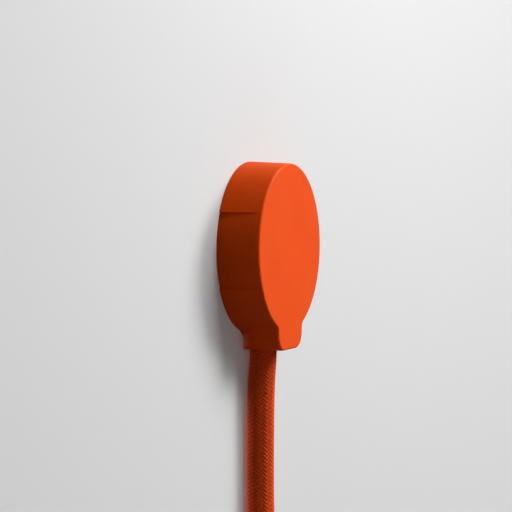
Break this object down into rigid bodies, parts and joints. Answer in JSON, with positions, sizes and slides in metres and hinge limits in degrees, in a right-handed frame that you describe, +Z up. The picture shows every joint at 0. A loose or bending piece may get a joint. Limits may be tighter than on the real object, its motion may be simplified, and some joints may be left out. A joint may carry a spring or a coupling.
{
  "type": "flat low profile plug",
  "caption": "Flat round mains plug in orange plastic with two solid round pins, side earth contacts and a braided cord leaving straight down from a boss at its foot.",
  "frame": {"origin": "centre of the engagement face, midway between the two pins", "axes": "+Y along the pins, into the socket; +Z up, away from the cord's way out; +X from the line pin to the neutral pin; the cover's front faces -Y"},
  "size_m": [0.1117, 0.063, 0.2854],
  "materials": {
    "housing_plastic": "satin moulded orange",
    "carrier_plastic": "satin moulded orange",
    "pin_metal": "nickel plated, turned",
    "contact_metal": "nickel plated strip",
    "screw_steel": "zinc plated",
    "insert_brass": "bare turned brass",
    "clamp_plastic": "natural nylon",
    "line_insulation": "brown flexible plastic",
    "neutral_insulation": "blue flexible plastic",
    "earth_insulation": "green and yellow flexible plastic",
    "ferrule_metal": "tinned copper",
    "braid": "orange textile braid",
    "tie_fabric": "black woven strap",
    "sleeve_rubber": "black shrink sleeve"
  },
  "bodies": {
    "root": {"front_cover": "housing_plastic", "contact_carrier": "carrier_plastic", "line_pin": "pin_metal", "neutral_pin": "pin_metal", "earth_strap": "contact_metal", "earth_receptacle": "contact_metal", "pin_terminal_screws": "screw_steel", "earth_clamp_washer": "screw_steel", "earth_terminal_screw": "screw_steel", "housing_screw": "screw_steel", "threaded_insert": "insert_brass", "cord_clamp": "clamp_plastic", "clamp_screws": "screw_steel", "line_core": "line_insulation", "neutral_core": "neutral_insulation", "earth_core": "earth_insulation", "inner_ferrules": "ferrule_metal", "cord_run": "braid", "cord_coil": "braid", "coil_tie": "tie_fabric", "sheath_end_sleeve": "sleeve_rubber", "far_line_core": "line_insulation", "far_neutral_core": "neutral_insulation", "far_earth_core": "earth_insulation", "far_ferrules": "ferrule_metal"}
  },
  "joints": []
}
